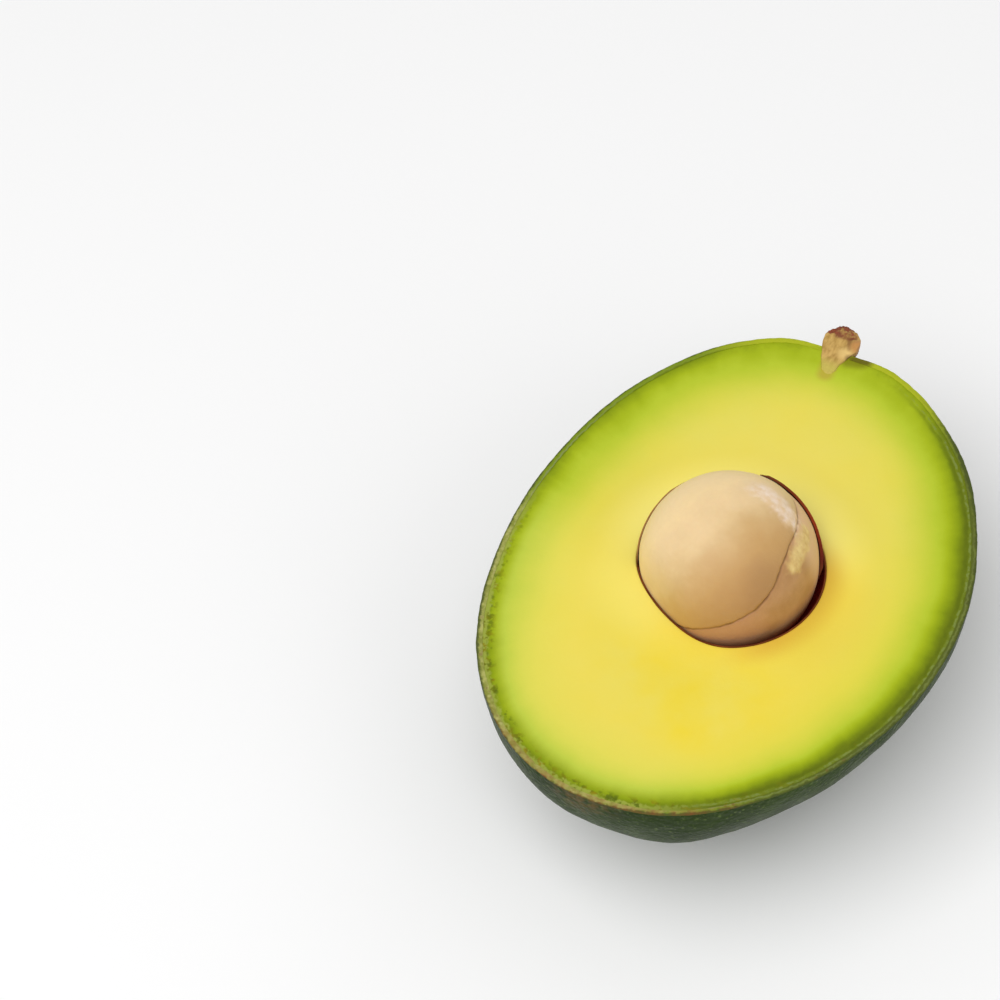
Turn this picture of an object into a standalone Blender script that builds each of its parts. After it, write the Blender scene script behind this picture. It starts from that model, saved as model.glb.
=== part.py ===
"""Half an avocado, cut lengthwise through its stem, lying on its back with the seed in its hollow.

Metres, +Z up. +Y runs along the fruit towards the stem, and +X is the fuller of its two flanks.
The origin is the centre of the small flat spot that the fruit rests on.
The cut face is level, and the five pieces are the peel, the flesh, the seed, the papery coat
that lines the seed's hollow, and the half of the stem button that the cut left on this half.
"""

import math

import bmesh
import bpy
from mathutils import Matrix, Vector

MM = 0.001

# The whole fruit that was cut
HALF_LENGTH = 56.0 * MM
HALF_WIDTH = 42.2 * MM
DEPTH = 39.0 * MM  # from the cut to the back, before it settled on its flat spot
BOW = 3.4 * MM  # how far the middle stands out towards +X from the line between the two ends
TAPER = 0.016  # share by which the stem end is slimmer, and the blossom end fuller
DIMPLE_DEPTH = 1.0 * MM  # where the stem button sits in the shoulder
DIMPLE_SPREAD = 0.16  # the dimple's radius, as a share of the fruit's half width
FLAT_DEPTH = 0.9 * MM  # how much the resting spot flattens the back

PEEL_THICKNESS = 1.1 * MM
GAP = 0.3 * MM  # room between two pieces that touch
CUT_HEIGHT = DEPTH - FLAT_DEPTH

# The seed and its hollow
SEED_CENTRE = Vector((-1.5 * MM, -0.2 * MM, CUT_HEIGHT + 1.2 * MM))
SEED_RADII = Vector((16.4, 16.9, 16.4)) * MM
HOLLOW_CENTRE = Vector((-1.0 * MM, 0.1 * MM, CUT_HEIGHT))
HOLLOW_RADII = Vector((18.2, 18.4, 16.8)) * MM
COAT_THICKNESS = 0.4 * MM

# The stem button, half of a shape drawn through rings whose middles lie in the cut. It leans towards -X.
STEM_RINGS = (  # X and Y of the ring's middle and its radius in mm, and its lean in degrees
    (-3.65, 48.9, 0.6, 0.0),
    (-3.8, 51.0, 1.2, 5.0),
    (-3.9, 53.0, 2.0, 10.0),
    (-3.5, 54.5, 3.2, 18.0),
    (-3.9, 56.0, 3.7, 22.0),
    (-4.7, 57.9, 3.8, 24.0),
    (-5.4, 59.5, 3.3, 24.0),
    (-5.9, 60.6, 2.3, 24.0),
    (-6.1, 61.1, 1.2, 24.0),
)

# How finely the curved pieces are faceted
FRUIT_SIDES, FRUIT_RINGS = 56, 28
SEED_SIDES, SEED_RINGS = 36, 18
STEM_SIDES = 20


def remove_everything():
    for old in list(bpy.data.objects):
        bpy.data.objects.remove(old)


def material(name, colour, roughness):
    made = bpy.data.materials.new(name)
    made.use_nodes = True
    shader = made.node_tree.nodes["Principled BSDF"]
    shader.inputs["Base Color"].default_value = (*colour, 1.0)
    shader.inputs["Roughness"].default_value = roughness
    shader.inputs["Metallic"].default_value = 0.0
    return made


def add_object(name, shape, look=None):
    """Turns a bmesh into a named object, smooth except at its sharp edges."""
    bmesh.ops.recalc_face_normals(shape, faces=shape.faces)
    mesh = bpy.data.meshes.new(name)
    shape.to_mesh(mesh)
    shape.free()
    mesh.shade_smooth()
    mesh.set_sharp_from_angle(angle=math.radians(40))
    made = bpy.data.objects.new(name, mesh)
    bpy.context.scene.collection.objects.link(made)
    if look:
        mesh.materials.append(look)
    return made


def add_cutter(name, shape):
    made = add_object(name, shape)
    made.hide_render = True
    made.display_type = "WIRE"
    return made


def cut(piece, cutter):
    step = piece.modifiers.new("cut_" + cutter.name, "BOOLEAN")
    step.operation = "DIFFERENCE"
    step.object = cutter


def cut_level(shape, height, keep_below):
    """Cuts the shape at a height and closes it with one flat face."""
    shape_parts = shape.verts[:] + shape.edges[:] + shape.faces[:]
    made = bmesh.ops.bisect_plane(
        shape,
        geom=shape_parts,
        dist=0.01 * MM,
        plane_co=(0.0, 0.0, height),
        plane_no=(0.0, 0.0, 1.0),
        clear_outer=keep_below,
        clear_inner=not keep_below,
    )
    rim = [part for part in made["geom_cut"] if isinstance(part, bmesh.types.BMEdge)]
    return rim


def close(shape, rim):
    bmesh.ops.contextual_create(shape, geom=rim)


def fruit_point(unit, inset):
    """Where a point of the unit ball, its poles on Y, lies on the fruit, that deep below its surface."""
    taper = 1.0 - TAPER * unit.y
    x = (HALF_WIDTH - inset) * unit.x * taper - BOW * unit.y**2
    y = (HALF_LENGTH - inset) * unit.y
    if unit.y > 0.0:
        from_pole = math.hypot(unit.x, unit.z) / DIMPLE_SPREAD
        y -= DIMPLE_DEPTH * math.exp(-(from_pole**2))
    z = CUT_HEIGHT + (DEPTH - inset) * unit.z * taper
    return Vector((x, y, z))


def fruit_shape(inset):
    """The whole fruit's surface, or one that lies that deep below it, with the resting spot flattened."""
    shape = bmesh.new()
    bmesh.ops.create_uvsphere(shape, u_segments=FRUIT_SIDES, v_segments=FRUIT_RINGS, radius=1.0)
    bmesh.ops.rotate(shape, cent=(0, 0, 0), matrix=Matrix.Rotation(-math.pi / 2, 3, "X"), verts=shape.verts)
    for corner in shape.verts:
        corner.co = fruit_point(corner.co, inset)
    close(shape, cut_level(shape, inset, keep_below=False))
    return shape


def ellipsoid(centre, radii, sides, rings):
    shape = bmesh.new()
    bmesh.ops.create_uvsphere(shape, u_segments=sides, v_segments=rings, radius=1.0)
    bmesh.ops.scale(shape, vec=radii, verts=shape.verts)
    bmesh.ops.translate(shape, vec=centre, verts=shape.verts)
    return shape


def stem_shape(grown):
    """The stem button before it was cut, drawn through its rings, and thicker by the amount that it is grown."""
    shape = bmesh.new()
    loops = []
    shifts = [-grown] + [0.0] * (len(STEM_RINGS) - 2) + [grown]  # the end rings move out along the fruit
    for (x, y, radius, lean), shift in zip(STEM_RINGS, shifts):
        upright = Matrix.Rotation(math.pi / 2, 4, "X")
        leaning = Matrix.Rotation(math.radians(lean), 4, "Z")
        place = Matrix.Translation((x * MM, y * MM + shift, CUT_HEIGHT)) @ leaning @ upright
        made = bmesh.ops.create_circle(shape, segments=STEM_SIDES, radius=radius * MM + grown, matrix=place)
        loops.append(made["verts"])
    for near, far in zip(loops, loops[1:]):
        for side in range(STEM_SIDES):
            beside = (side + 1) % STEM_SIDES
            shape.faces.new((near[side], near[beside], far[beside], far[side]))
    shape.faces.new(loops[0])
    shape.faces.new(loops[-1])
    bmesh.ops.recalc_face_normals(shape, faces=shape.faces)
    return shape


def make_peel():
    """An open shell of the fruit's back, thickened inwards, with a half-round notch for the stem button."""
    shape = fruit_shape(inset=0.0)
    cut_level(shape, CUT_HEIGHT, keep_below=True)
    peel = add_object("peel", shape, material("peel_green", (0.035, 0.075, 0.012), 0.42))
    wall = peel.modifiers.new("wall", "SOLIDIFY")
    wall.thickness = PEEL_THICKNESS
    wall.offset = -1.0
    wall.use_even_offset = True
    cut(peel, add_cutter("stem_notch", stem_shape(GAP)))


def make_flesh():
    """The solid half of the fruit inside the peel, hollowed for the seed and its coat."""
    shape = fruit_shape(inset=PEEL_THICKNESS + GAP)
    close(shape, cut_level(shape, CUT_HEIGHT, keep_below=True))
    flesh = add_object("flesh", shape, material("flesh_yellow", (0.82, 0.68, 0.09), 0.45))
    cut(flesh, add_cutter("seed_hollow", ellipsoid(HOLLOW_CENTRE, HOLLOW_RADII, SEED_SIDES, SEED_RINGS)))
    cut(flesh, add_cutter("stem_root_hollow", stem_shape(GAP)))


def make_seed_coat():
    """The papery coat that stays in the hollow: a thin open cup just inside its wall."""
    radii = HOLLOW_RADII - Vector((GAP, GAP, GAP))
    shape = ellipsoid(HOLLOW_CENTRE, radii, SEED_SIDES, SEED_RINGS)
    cut_level(shape, CUT_HEIGHT, keep_below=True)
    coat = add_object("seed_coat", shape, material("coat_brown", (0.16, 0.04, 0.015), 0.6))
    wall = coat.modifiers.new("wall", "SOLIDIFY")
    wall.thickness = COAT_THICKNESS
    wall.offset = -1.0
    wall.use_even_offset = True


def make_seed():
    shape = ellipsoid(SEED_CENTRE, SEED_RADII, SEED_SIDES, SEED_RINGS)
    add_object("seed", shape, material("seed_tan", (0.62, 0.38, 0.16), 0.4))


def make_stem_button():
    shape = stem_shape(grown=0.0)
    close(shape, cut_level(shape, CUT_HEIGHT, keep_below=True))
    add_object("stem_button", shape, material("stem_brown", (0.32, 0.16, 0.06), 0.75))


def main():
    remove_everything()
    make_peel()
    make_flesh()
    make_seed_coat()
    make_seed()
    make_stem_button()


main()
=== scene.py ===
"""Half an avocado with its seed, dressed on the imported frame: skin, flesh, seed, seed coat and stem.

Metres, +Z up, the cut face level. +Y runs towards the stem, and the fruit rests on a small flat spot at
the origin.
"""

import math

import bmesh
import bpy
from mathutils import Euler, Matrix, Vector, noise


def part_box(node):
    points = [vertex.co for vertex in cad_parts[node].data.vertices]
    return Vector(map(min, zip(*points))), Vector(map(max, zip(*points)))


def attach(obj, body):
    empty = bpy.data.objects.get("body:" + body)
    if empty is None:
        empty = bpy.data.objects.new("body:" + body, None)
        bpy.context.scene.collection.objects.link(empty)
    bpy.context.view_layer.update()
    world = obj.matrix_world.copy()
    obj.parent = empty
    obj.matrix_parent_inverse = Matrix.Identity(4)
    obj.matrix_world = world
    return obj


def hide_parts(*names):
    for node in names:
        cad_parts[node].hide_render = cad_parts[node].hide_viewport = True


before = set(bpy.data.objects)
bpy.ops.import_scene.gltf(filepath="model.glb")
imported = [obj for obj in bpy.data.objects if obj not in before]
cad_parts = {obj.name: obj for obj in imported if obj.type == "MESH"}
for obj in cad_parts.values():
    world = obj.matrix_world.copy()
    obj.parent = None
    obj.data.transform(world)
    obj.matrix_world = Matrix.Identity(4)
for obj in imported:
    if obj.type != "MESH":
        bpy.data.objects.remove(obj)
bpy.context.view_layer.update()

MM = 0.001

# The fruit, from the frame where it gives a size
PEEL_LOW, PEEL_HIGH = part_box("peel")
HALF_WIDTH = (PEEL_HIGH.x - PEEL_LOW.x) / 2
HALF_LENGTH = -PEEL_LOW.y
CUT_HEIGHT = PEEL_HIGH.z
FLAT_DEPTH = 0.9 * MM
DEPTH = CUT_HEIGHT + FLAT_DEPTH
BOW = 3.4 * MM  # how far the middle stands out towards +X from the line between the two ends
TAPER = 0.016  # share by which the stem end is slimmer, and the blossom end fuller
DIMPLE_DEPTH = 1.0 * MM
DIMPLE_REACH = 11 * MM
PEEL_THICKNESS = 1.1 * MM
SEAT = 0.05 * MM  # room between two pieces that touch
GROWN_IN = 0.25 * MM  # how far the flesh reaches into the peel, which it has grown together with
FULL_WEIGHT = 0.99  # a vertex group's weight above which a corner belongs wholly to it

# The seed, and the nest in the flesh that its coat lines
SEED_LOW, SEED_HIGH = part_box("seed")
SEED_CENTRE = (SEED_LOW + SEED_HIGH) / 2
SEED_RADII = (SEED_HIGH - SEED_LOW) / 2
COAT_THICKNESS = 0.25 * MM
NEST_CENTRE = Vector((SEED_CENTRE.x + 0.55 * MM, SEED_CENTRE.y - 0.55 * MM, CUT_HEIGHT))
NEST_RADIUS = 17.5 * MM
NEST_RADII = Vector((NEST_RADIUS, NEST_RADIUS, CUT_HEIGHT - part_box("seed_coat")[0].z))
DENT_SIDE = Vector((-0.5, -0.866, 0.0))  # the side where seed and nest are pressed flat
NEST_DENT, NEST_DENT_REACH = 1.95 * MM, 16.5 * MM
SEED_DENT, SEED_DENT_REACH = 1.45 * MM, 12 * MM

# The seed's seam sways across a plane, given by its normal and its distance from the seed's centre
SEAM_NORMAL = Vector((0.452, 0.212, -0.867)).normalized()
SEAM_OFFSET = -3.46 * MM
SEAM_SWAY = 0.95 * MM
SEAM_SWAY_START = -11.5 * MM
SEAM_SWAY_LENGTH = 22 * MM

# Two scraps of the coat stand up round the seed, behind this plane through it. For each: the heading of
# its middle, how near to that a place must be (as a cosine), its room from the seed and its thickness
FLAP_FRONT = Vector((0.256, -0.541, 0.801)).normalized()
FLAPS = (
    (Vector((0.612, 0.733, 0.300)).normalized(), 0.77, 0.12 * MM, 0.62 * MM),
    (Vector((-0.954, -0.008, 0.300)).normalized(), 0.86, 0.06 * MM, 0.3 * MM),
)
FLAP_FOOT = 1.5 * MM  # how far they reach down into the nest
FLAP_THINNING, FLAP_THINNEST = 0.03, 0.12  # how much thinner each mm up, and the least, as shares
FLAP_END = 0.07  # how far in from their ragged ends they reach their thickness, as a difference of cosines

# The stem's rings: X and Y, height above the cut and radius, in mm, and lean in degrees
STEM_RINGS = (
    (-3.9, 48.7, -1.3, 0.9, 0.0),
    (-4.1, 50.1, -0.7, 1.5, 6.0),
    (-4.4, 51.8, -0.45, 1.8, 12.0),
    (-4.3, 53.4, -0.1, 2.5, 16.0),
    (-3.9, 54.9, 0.0, 3.3, 20.0),
    (-4.1, 56.3, 0.0, 3.65, 23.0),
    (-4.7, 57.9, 0.0, 3.7, 24.0),
    (-5.4, 59.4, 0.0, 3.1, 24.0),
    (-5.8, 60.4, 0.0, 2.1, 24.0),
    (-5.95, 60.8, 0.0, 1.1, 24.0),
)
STEM_PROUD = 0.25 * MM  # how far the woody stem stands above the flesh where both were cut
STEM_LEAN = math.radians(24)
STEM_FOOT_X, STEM_FOOT_Y = -3.5 * MM, 54 * MM  # where it leaves the fruit
STEM_BROKEN_FROM = 5.2 * MM  # how far along from there its broken end begins
STEM_CORNERS = (  # what pulls the cut side up: X, Y, reach and rise in mm
    (-1.3, 57.2, 2.4, 1.1),
    (-5.4, 60.2, 1.8, 0.8),
    (-2.8, 55.0, 1.8, 0.35),
)

# How finely the pieces are meshed
PEEL_AROUND, PEEL_ALONG, LINING_AROUND, CUT_EDGE_RINGS = 500, 300, 48, 4
FLESH_AROUND, FLESH_ALONG, NEST_RINGS, CUT_FACE_RINGS = 128, 160, 48, 44
COAT_AROUND, COAT_RINGS = 300, 80
FLAP_AROUND, FLAP_RINGS = 440, 220
SEED_SUBDIVISIONS = 7
STEM_SIDES, STEM_VOXEL = 48, 0.11 * MM

FACE_DEPTH = 0.4 * MM  # how far below the cut a place still counts as part of the cut face
SEAM_BAND = 0.9 * MM  # how near to the seam the seed is meshed more finely
NEARLY = 0.02 * MM
ORIGIN = (0.0, 0.0, 0.0)
FLATTEN = (1.0, 1.0, 0.0)  # how much of its size each way a level shape keeps
CUT_THRESHOLD = 0.001 * MM

# Where the camera stands, seen from the middle of the cut face, and how far it is turned aside from it
CAMERA_AZIMUTH = math.radians(25.3)
CAMERA_ELEVATION = math.radians(53.2)
CAMERA_DISTANCE = 0.55
CAMERA_TURN = Euler((math.radians(1.165), math.radians(4.17), 0.0))
CAMERA_LENS = 108.3


# ---------------------------------------------------------------- modelling helpers


def deselect():
    bpy.ops.object.select_all(action="DESELECT")


def activate(piece):
    deselect()
    piece.select_set(True)
    bpy.context.view_layer.objects.active = piece


def edit(piece):
    activate(piece)
    bpy.ops.object.mode_set(mode="EDIT")
    bpy.ops.mesh.select_mode(type="VERT")


def finish_edit():
    bpy.ops.object.mode_set(mode="OBJECT")


def select_none(kind):
    """In edit mode, lets go of everything, before corners, edges or faces are selected."""
    bpy.ops.mesh.select_mode(type=kind)
    bpy.ops.mesh.select_all(action="DESELECT")


def select_corners(piece, wanted):
    """In edit mode, selects every corner whose place passes the test."""
    select_none("VERT")
    shape = bmesh.from_edit_mesh(piece.data)
    for corner in shape.verts:
        corner.select_set(wanted(corner.co))
    shape.select_flush_mode()
    bmesh.update_edit_mesh(piece.data)


def select_faces(piece, wanted):
    """In edit mode, selects every face that passes the test of its centre and its normal."""
    select_none("FACE")
    shape = bmesh.from_edit_mesh(piece.data)
    for face in shape.faces:
        face.select_set(wanted(face.calc_center_median(), face.normal))
    bmesh.update_edit_mesh(piece.data)


def select_full_weight(piece, group_name):
    """In edit mode, selects the corners that belong wholly to a vertex group, not in part."""
    select_none("VERT")
    shape = bmesh.from_edit_mesh(piece.data)
    weights = shape.verts.layers.deform.verify()
    group = piece.vertex_groups[group_name].index
    for corner in shape.verts:
        corner.select_set(corner[weights].get(group, 0.0) > FULL_WEIGHT)
    shape.select_flush_mode()
    bmesh.update_edit_mesh(piece.data)


def select_open_edges():
    select_none("EDGE")
    bpy.ops.mesh.select_non_manifold(
        use_wire=False,
        use_multi_face=False,
        use_non_contiguous=False,
        use_verts=False,
    )


def move(offset):
    """In edit mode, moves what is selected, and only that."""
    bpy.ops.transform.translate(value=offset, use_proportional_edit=False)


def pull(offset, reach):
    """In edit mode, moves what is selected and draws along all within reach, less and less."""
    bpy.ops.transform.translate(
        value=offset,
        use_proportional_edit=True,
        proportional_edit_falloff="SMOOTH",
        proportional_size=reach,
    )


def stretch(shares, centre):
    """In edit mode, stretches what is selected away from a centre, and only that."""
    bpy.ops.transform.resize(value=shares, center_override=centre, use_proportional_edit=False)


def settle(piece):
    """Puts a piece's place, turn and scale into its mesh."""
    activate(piece)
    bpy.ops.object.transform_apply(location=True, rotation=True, scale=True)


def join(first, *others):
    activate(first)
    for other in others:
        other.select_set(True)
    bpy.ops.object.join()


def apply_modifier(piece, step):
    activate(piece)
    bpy.ops.object.modifier_apply(modifier=step.name)


def weigh(piece, group_name, weight_of):
    """Makes a vertex group whose weight at each corner is worked out from its place."""
    group = piece.vertex_groups.new(name=group_name)
    for corner in piece.data.vertices:
        weight = weight_of(corner.co)
        if weight > 0.0:
            group.add([corner.index], min(weight, 1.0), "REPLACE")


def lumps(name, size, basis="BLENDER_ORIGINAL", detail=1):
    """A procedural texture for Displace, with lumps of about that size."""
    made = bpy.data.textures.new(name, "CLOUDS")
    made.noise_scale = size
    made.noise_basis = basis
    made.noise_depth = detail
    made.cloud_type = "COLOR"
    return made


def displace(piece, texture, height, group="", direction="NORMAL", middle=0.5):
    step = piece.modifiers.new("displace", "DISPLACE")
    step.texture = texture
    step.texture_coords = "LOCAL"
    step.direction = direction
    step.strength = height
    step.mid_level = middle
    step.vertex_group = group
    apply_modifier(piece, step)


def add_ball(name, centre, radii, around, rings):
    """A ball with its poles on Z."""
    deselect()
    bpy.ops.mesh.primitive_uv_sphere_add(segments=around, ring_count=rings, radius=1.0, location=centre)
    ball = bpy.context.object
    ball.name = name
    ball.scale = radii
    settle(ball)
    return ball


def cut_level(piece, height, fill=False):
    """Cuts away all that is above a height."""
    edit(piece)
    bpy.ops.mesh.select_all(action="SELECT")
    bpy.ops.mesh.bisect(
        plane_co=(0.0, 0.0, height),
        plane_no=(0.0, 0.0, 1.0),
        clear_outer=True,
        use_fill=fill,
        threshold=CUT_THRESHOLD,
    )
    finish_edit()


def flip_faces(piece):
    edit(piece)
    bpy.ops.mesh.select_all(action="SELECT")
    bpy.ops.mesh.flip_normals()
    finish_edit()


def face_outwards(piece):
    """Turns all faces the same way, then outwards: a piece whose volume is negative is inside out."""
    edit(piece)
    bpy.ops.mesh.select_all(action="SELECT")
    bpy.ops.mesh.normals_make_consistent(inside=False)
    if bmesh.from_edit_mesh(piece.data).calc_volume(signed=True) < 0.0:
        bpy.ops.mesh.flip_normals()
    finish_edit()


def smooth(piece, sharpest):
    activate(piece)
    bpy.ops.object.shade_smooth_by_angle(angle=math.radians(sharpest))


def dress(piece, slot, node, *materials):
    """Gives a finished piece its materials, hangs it under the root, and hides the part of the frame it
    stands for.
    """
    for material in materials:
        piece.data.materials.append(material)
    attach(piece, "root")
    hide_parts(node)


# ---------------------------------------------------------------- the fruit's form


def bow_and_taper(form):
    """Bends the form sideways and slims its stem end with a cage that is longer than the fruit."""
    reach, rows = 1.3, 9
    deselect()
    bpy.ops.object.add(type="LATTICE", location=ORIGIN)
    cage = bpy.context.object
    cage.data.points_v = rows
    cage.data.interpolation_type_u = "KEY_LINEAR"
    cage.data.interpolation_type_w = "KEY_LINEAR"
    size = Vector((2 * HALF_WIDTH, 2 * HALF_LENGTH * reach, 2 * DEPTH))
    cage.scale = size
    for point in cage.data.points:
        along = 2 * reach * point.co.y
        slimmer = 1.0 - TAPER * along
        point.co_deform.x = point.co.x * slimmer - BOW * along**2 / size.x
        point.co_deform.z = point.co.z * slimmer
    step = form.modifiers.new("cage", "LATTICE")
    step.object = cage
    apply_modifier(form, step)
    bpy.data.objects.remove(cage)


# Where the outline bulges or falls in: a place measured from the cut, the pull there and its reach, in mm
OUTLINE_PULLS = (
    ((12.0, 52.5, 0.0), (0.3, 0.5, 0.0), 16.0),
    ((28.0, 39.3, 0.0), (0.3, 0.3, 0.0), 12.0),
    ((12.0, -52.5, 0.0), (0.1, -0.4, 0.0), 12.0),
    ((-36.0, -31.0, 0.0), (-0.25, -0.15, 0.0), 16.0),
    ((14.0, -44.5, -18.0), (0.3, -0.7, -0.4), 15.0),
)
FLANK_PULL, FLANK_REACH = (-1.9 * MM, 0.5 * MM, 0.0), 15 * MM


def on_full_flank(place):
    """Whether a place, measured from the cut, lies where the +X flank falls in faster than a ball's."""
    return place.x > 0.0 and -27 * MM < place.z < -15 * MM and -42 * MM < place.y < 12 * MM


def fruit_half(name, inset, around, along):
    """The lower half of the fruit's surface, that deep below the skin, open at the cut."""
    deselect()
    bpy.ops.mesh.primitive_uv_sphere_add(segments=around, ring_count=along, radius=1.0)
    form = bpy.context.object
    form.name = name
    form.rotation_euler.x = math.pi / 2
    form.scale = (HALF_WIDTH - inset, DEPTH - inset, HALF_LENGTH - inset)
    settle(form)
    cut_level(form, 0.0)
    bow_and_taper(form)

    edit(form)
    select_corners(form, lambda place: place.y > HALF_LENGTH - inset - NEARLY)
    pull((0.0, -DIMPLE_DEPTH, 0.0), DIMPLE_REACH)
    select_corners(form, on_full_flank)
    pull(FLANK_PULL, FLANK_REACH)
    for spot, offset, reach in OUTLINE_PULLS:
        spot = Vector(spot) * MM
        select_corners(form, lambda place: (place - spot).length < 3.0 * MM)
        pull(Vector(offset) * MM, reach * MM)
    finish_edit()

    displace(form, lumps("slow_lumps", 24 * MM), 1.1 * MM)
    displace(form, lumps("small_lumps", 8 * MM), 0.35 * MM)

    edit(form)
    select_open_edges()
    stretch(FLATTEN, ORIGIN)
    flat = inset - CUT_HEIGHT
    select_corners(form, lambda place: place.z < flat)
    stretch(FLATTEN, (0.0, 0.0, flat))
    bpy.ops.mesh.select_all(action="SELECT")
    move((0.0, 0.0, CUT_HEIGHT))
    finish_edit()
    return form


# ---------------------------------------------------------------- the pieces


def make_peel():
    """A thin shell: a fine skin outside, a plain lining inside, and the ragged cut edge between them."""
    peel = fruit_half("avocado_peel", 0.0, PEEL_AROUND, PEEL_ALONG)
    weigh(peel, "skin", lambda place: 1.0)
    lining = fruit_half("lining", PEEL_THICKNESS, LINING_AROUND, PEEL_ALONG)
    flip_faces(lining)
    join(peel, lining)

    edit(peel)
    bridge(CUT_EDGE_RINGS)
    finish_edit()
    face_outwards(peel)

    weigh(peel, "cut_edge", lambda place: level_weight(place, 1.0 * MM))
    displace(peel, lumps("pebbles", 1.6 * MM, basis="VORONOI_F1"), -0.16 * MM, group="skin")
    for direction in ("X", "Y"):
        ragged = lumps("ragged_edge_" + direction, 1.3 * MM, detail=3)
        displace(peel, ragged, 0.3 * MM, group="cut_edge", direction=direction)
    edge_height = lumps("edge_height", 1.1 * MM, detail=2)
    displace(peel, edge_height, 0.14 * MM, group="cut_edge", direction="Z", middle=0.3)
    edit(peel)
    select_corners(peel, lambda place: place.z < NEARLY)
    stretch(FLATTEN, ORIGIN)
    finish_edit()
    smooth(peel, 50)

    dress(peel, "peel", "peel", skin_material(), cut_edge_material())
    edit(peel)
    select_faces(peel, on_cut_edge)
    peel.active_material_index = 1
    bpy.ops.object.material_slot_assign()
    finish_edit()


def on_cut_edge(centre, normal):
    """Whether a face of the peel is one of its cut edge or its lining, not of its skin."""
    outwards = centre - Vector((0.0, 0.0, CUT_HEIGHT))
    return normal.dot(outwards) < 0.0 or (centre.z > CUT_HEIGHT - FACE_DEPTH and normal.z > 0.6)


def bridge(rings):
    """In edit mode, joins a piece's two open rims with faces, in that many rings more."""
    select_open_edges()
    bpy.ops.mesh.bridge_edge_loops(number_cuts=rings, interpolation="LINEAR")


def add_nest(name, room, around, rings):
    """A cup that fits the nest with that much room, pressed in on one side like the seed."""
    nest = add_ball(name, NEST_CENTRE, NEST_RADII - Vector((room, room, room)), around, rings)
    press_in(nest, NEST_CENTRE + DENT_SIDE * NEST_RADII.x, NEST_DENT, NEST_DENT_REACH)
    cut_level(nest, CUT_HEIGHT)
    return nest


def press_in(ball, target, depth, reach):
    edit(ball)
    select_corners(ball, lambda place: (place - target).length < 1.0 * MM)
    pull(DENT_SIDE * -depth, reach)
    finish_edit()


def make_flesh():
    """The solid half inside the peel: its back, the seed's nest, and the cut face bridged between them."""
    flesh = fruit_half("avocado_flesh", PEEL_THICKNESS - GROWN_IN, FLESH_AROUND, FLESH_ALONG)
    nest = add_nest("nest", 0.0, 2 * FLESH_ALONG, NEST_RINGS)
    flip_faces(nest)
    edit(nest)
    select_open_edges()
    bpy.ops.object.vertex_group_assign_new()
    finish_edit()
    nest.vertex_groups[0].name = "lip"
    join(flesh, nest)

    edit(flesh)
    bridge(CUT_FACE_RINGS)
    select_full_weight(flesh, "lip")
    bpy.ops.mesh.select_mode(type="EDGE")
    bpy.ops.mesh.bevel(offset=0.25 * MM, segments=3, affect="EDGES")
    finish_edit()
    face_outwards(flesh)

    weigh(flesh, "cut_face", cut_face_weight)
    weigh(flesh, "rim", rim_weight)
    displace(flesh, lumps("slow_waves", 14 * MM), 0.28 * MM, group="cut_face", direction="Z")
    small_waves = lumps("small_waves", 3.5 * MM, detail=2)
    displace(flesh, small_waves, 0.07 * MM, group="cut_face", direction="Z")
    displace(flesh, None, -0.06 * MM, group="rim", direction="Z", middle=0.0)
    smooth(flesh, 60)
    dress(flesh, "flesh", "flesh", flesh_material())


def level_weight(place, reach):
    """1 at the height of the cut, fading out at that depth below it."""
    return 1.0 - (CUT_HEIGHT - place.z) / reach


def cut_face_weight(place):
    """1 on the cut face, fading out just below it and towards the peel."""
    return min(level_weight(place, FACE_DEPTH), below_skin(place) / (6 * MM))


def rim_weight(place):
    """1 where the cut face dips under the peel's edge, fading out within the next millimetres."""
    return min(level_weight(place, FACE_DEPTH), 1.6 - below_skin(place) / (1.4 * MM))


def below_skin(place):
    """Roughly how far inside the fruit's outline a place on the cut face lies, in metres."""
    along = place.y / HALF_LENGTH
    across = (place.x + BOW * along**2) / HALF_WIDTH / (1.0 - TAPER * along)
    radius = math.hypot(across, along)
    slope = math.hypot(across / HALF_WIDTH, along / HALF_LENGTH)
    return (1.0 - radius) * radius / max(slope, 1.0)


def make_seed_coat():
    """The papery cup that lines the nest, torn along its top edge, and scraps of it beside the seed."""
    coat = add_nest("avocado_seed_coat", SEAT, COAT_AROUND, COAT_RINGS)
    weigh(coat, "torn_edge", lambda place: level_weight(place, 4.0 * MM))
    tears = lumps("tears", 2.2 * MM, detail=3)
    displace(coat, tears, 0.6 * MM, group="torn_edge", direction="Z", middle=0.7)
    thicken(coat, COAT_THICKNESS, -1.0)
    for flap in FLAPS:
        join(coat, make_coat_flap(*flap))
    face_outwards(coat)
    smooth(coat, 60)
    dress(coat, "seed_coat", "seed_coat", coat_material())


def thicken(sheet, thickness, side, group=""):
    wall = sheet.modifiers.new("wall", "SOLIDIFY")
    wall.thickness = thickness
    wall.offset = side
    wall.vertex_group = group
    apply_modifier(sheet, wall)


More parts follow.
